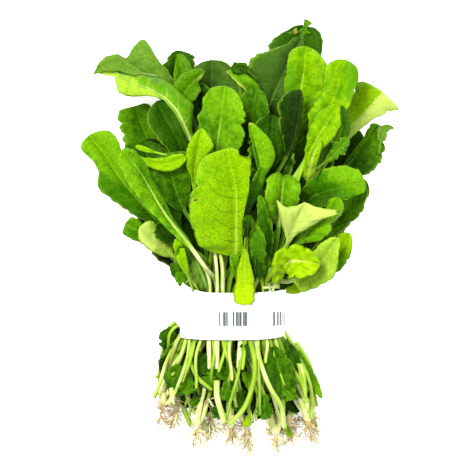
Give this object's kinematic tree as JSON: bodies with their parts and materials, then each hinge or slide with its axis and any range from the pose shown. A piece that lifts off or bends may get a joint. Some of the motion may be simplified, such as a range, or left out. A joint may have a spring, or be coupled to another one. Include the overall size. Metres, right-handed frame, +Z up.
{
  "type": "bunch of arugula",
  "caption": "Fresh rooted arugula lying on its back: broad green leaves on pale stems, gathered in a white paper band.",
  "frame": {"origin": "middle of the footprint, on the surface that the bunch lies on", "axes": "+Y from the roots to the leaf tips, +Z up, +X to the right with the leaf tips away from the viewer"},
  "size_m": [0.2192, 0.3044, 0.0836],
  "materials": {
    "leaf": "satin",
    "leaf_shaded": "satin",
    "root": "matte",
    "paper": "matte"
  },
  "bodies": {
    "root": {"leaf_back_crest": "leaf_shaded", "leaf_back_olive": "leaf_shaded", "leaf_back_toothed": "leaf_shaded", "leaf_back_right": "leaf_shaded", "leaf_back_low_right": "leaf_shaded", "leaf_back_middle": "leaf_shaded", "leaf_inner_left": "leaf_shaded", "leaf_back_broad": "leaf_shaded", "leaf_inner_rear": "leaf_shaded", "leaf_far_right": "leaf_shaded", "leaf_lobed_wing": "leaf_shaded", "leaf_inner_right": "leaf_shaded", "leaf_rear_point": "leaf_shaded", "leaf_rear_curved": "leaf", "leaf_left_dark": "leaf_shaded", "leaf_left_big": "leaf", "leaf_rear_rolled": "leaf", "leaf_top_bright": "leaf", "leaf_pale_fan": "leaf", "leaf_small_left": "leaf", "leaf_inner_low": "leaf_shaded", "leaf_shaded_rear": "leaf_shaded", "leaf_shaded_centre": "leaf_shaded", "leaf_draped_left": "leaf", "leaf_shaded_right": "leaf_shaded", "leaf_right_big": "leaf", "leaf_left_underside": "leaf", "leaf_inner_low_left": "leaf_shaded", "leaf_right_rounded": "leaf", "leaf_glossy_left": "leaf_shaded", "leaf_middle_round": "leaf", "leaf_right_stalked": "leaf", "leaf_folded_left": "leaf", "leaf_right_low": "leaf", "leaf_yellow_tip": "leaf", "leaf_bright_left": "leaf", "leaf_cupped_right": "leaf", "leaf_right_shade": "leaf_shaded", "leaf_dark_low_left": "leaf_shaded", "leaf_right_lobed": "leaf", "leaf_narrow_upright": "leaf_shaded", "leaf_long_left": "leaf", "leaf_pale_folded": "leaf", "leaf_crumpled": "leaf", "leaf_front_centre": "leaf", "crown_lower_1": "root", "crown_lower_2": "root", "crown_lower_3": "root", "crown_lower_4": "root", "crown_lower_5": "root", "crown_upper_1": "root", "crown_upper_2": "root", "crown_upper_3": "root", "crown_upper_4": "root", "crown_upper_5": "root", "paper_band": "paper", "lower_leaf_right": "leaf", "lower_leaf_middle": "leaf", "lower_leaf_left": "leaf", "leaf_over_band": "leaf"}
  },
  "joints": []
}
